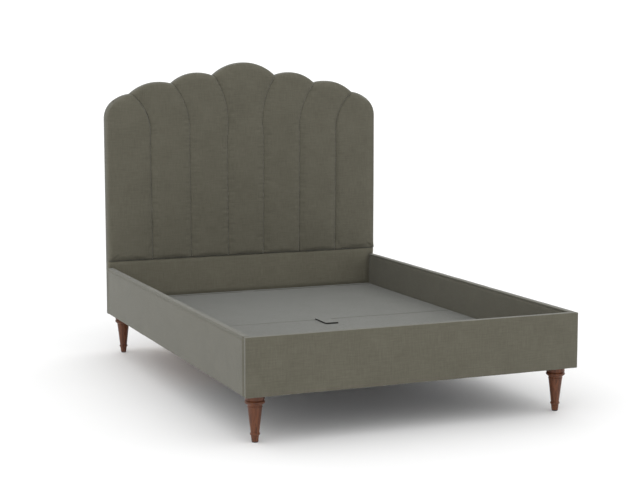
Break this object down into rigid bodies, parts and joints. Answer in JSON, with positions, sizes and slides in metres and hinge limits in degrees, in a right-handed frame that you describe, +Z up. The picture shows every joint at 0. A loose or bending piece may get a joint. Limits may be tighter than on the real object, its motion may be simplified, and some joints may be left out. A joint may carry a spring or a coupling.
{
  "type": "upholstered bed",
  "caption": "Double bed with a fluted, scallop-topped padded headboard, low box rails, a recessed cloth-covered deck with a lift-up storage lid, and turned wooden legs.",
  "frame": {"origin": "centre of the bed's footprint, on the floor", "axes": "+X to the right seen from the foot end, +Y from the foot to the headboard, +Z up"},
  "size_m": [1.44, 2.036, 1.423],
  "materials": {
    "upholstery": "olive-grey woven linen-look upholstery",
    "deck_cloth": "olive-grey woven cloth stretched over the deck boards",
    "tab_cloth": "folded strip of deck cloth",
    "lining_cloth": "black non-woven lining",
    "plywood": "bare plywood",
    "hardboard": "bare hardboard",
    "walnut": "red-brown walnut, satin lacquer",
    "beech": "bare beech",
    "pine": "bare softwood",
    "steel": "zinc-plated steel",
    "glide_plastic": "black nylon"
  },
  "bodies": {
    "frame": {"bay_floor_left": "hardboard", "bay_floor_right": "hardboard", "centre_beam_foot": "pine", "centre_beam_head": "pine", "centre_leg": "beech", "centre_leg_glide": "glide_plastic", "corner_block_front_left": "pine", "corner_block_front_right": "pine", "corner_block_rear_left": "pine", "corner_block_rear_right": "pine", "corner_block_screws": "steel", "deck_foot_board": "plywood", "deck_foot_cover": "deck_cloth", "dust_cloth": "lining_cloth", "foot_ledger": "pine", "foot_rail_board": "pine", "foot_rail_cover": "upholstery", "head_rail": "pine", "head_rail_cover": "deck_cloth", "headboard_back_cover": "lining_cloth", "headboard_bolts": "steel", "headboard_bottom_rail": "pine", "headboard_centre_posts": "pine", "headboard_channel_1": "upholstery", "headboard_channel_2": "upholstery", "headboard_channel_3": "upholstery", "headboard_channel_4": "upholstery", "headboard_channel_5": "upholstery", "headboard_channel_6": "upholstery", "headboard_channel_7": "upholstery", "headboard_lower_pad": "upholstery", "headboard_middle_rail": "pine", "headboard_panel": "plywood", "headboard_post_left": "pine", "headboard_post_right": "pine", "headboard_side_cover": "upholstery", "headboard_top_rail": "pine", "hinge_leaves_fixed": "steel", "hinge_pins": "steel", "leg_front_left": "walnut", "leg_front_right": "walnut", "leg_glides": "glide_plastic", "leg_hanger_bolts": "steel", "leg_plates": "steel", "leg_rear_left": "walnut", "leg_rear_right": "walnut", "mid_bearer": "pine", "side_ledger_left": "pine", "side_ledger_right": "pine", "side_rail_left_board": "pine", "side_rail_left_cover": "upholstery", "side_rail_right_board": "pine", "side_rail_right_cover": "upholstery"},
    "lid": {"lid_board": "plywood", "lid_cover": "deck_cloth", "lid_hinge_batten": "pine", "hinge_leaves_lid": "steel", "pull_tab": "tab_cloth"}
  },
  "joints": [
    {"name": "lid_hinge", "type": "hinge", "parent": "frame", "child": "lid", "pos_m": [0, 0.94, 0.2575], "axis": [-1, 0, 0], "range_deg": [0, 85]}
  ]
}
